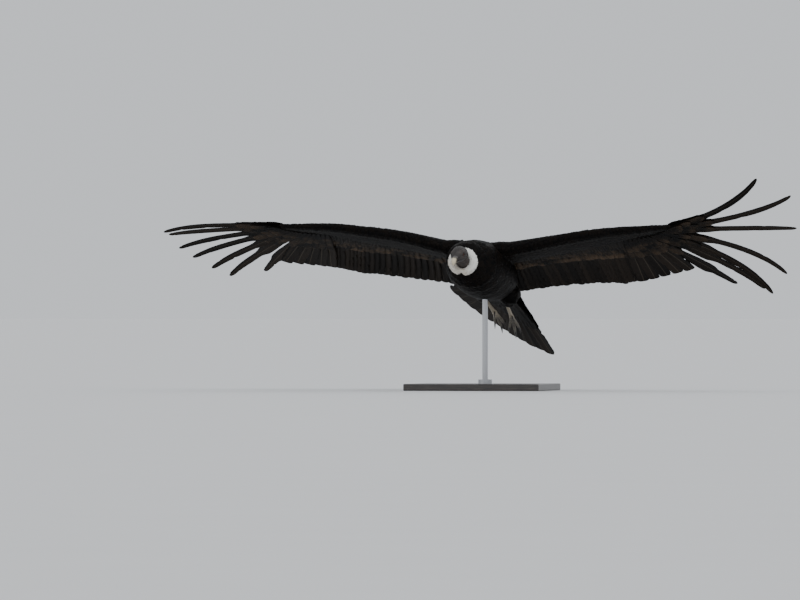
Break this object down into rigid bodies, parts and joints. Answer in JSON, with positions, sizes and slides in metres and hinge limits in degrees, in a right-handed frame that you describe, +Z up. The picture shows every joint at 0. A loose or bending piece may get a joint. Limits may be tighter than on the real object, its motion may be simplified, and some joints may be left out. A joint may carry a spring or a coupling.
{
  "type": "andean condor",
  "caption": "Life-size still model of a gliding adult female Andean condor, wings spread with splayed fingers and tail fanned, held by one rod on a flat display stand.",
  "frame": {"origin": "centre of the display base's underside, on the floor", "axes": "+Z up, the bird faces -Y, its left wing points to +X"},
  "size_m": [2.782, 1.1617, 0.9135],
  "materials": {
    "plumage": "near-black feathers, brown-grey fringes, soft sheen",
    "ruff": "white down",
    "skin": "bare wrinkled dark grey skin",
    "bill": "horn, ivory tip, dark base",
    "eye": "wet, red-brown iris, black pupil",
    "foot": "scaly grey skin",
    "claw": "dark horn",
    "stand_base": "satin black lacquer",
    "stand_rod": "brushed"
  },
  "bodies": {
    "root": {"torso": "plumage", "tail": "plumage", "wing_left_arm": "plumage", "wing_left_forearm": "plumage", "wing_left_hand": "plumage", "wing_right_arm": "plumage", "wing_right_forearm": "plumage", "wing_right_hand": "plumage", "foot_left": "foot", "claw_left_1": "claw", "claw_left_2": "claw", "claw_left_3": "claw", "claw_left_4": "claw", "foot_right": "foot", "claw_right_1": "claw", "claw_right_2": "claw", "claw_right_3": "claw", "claw_right_4": "claw", "neck": "skin", "head": "skin", "ruff": "ruff", "bill_upper": "bill", "bill_lower": "bill", "eye_left": "eye", "eye_right": "eye", "stand_base": "stand_base", "stand_collar": "stand_rod", "stand_rod": "stand_rod"}
  },
  "joints": []
}
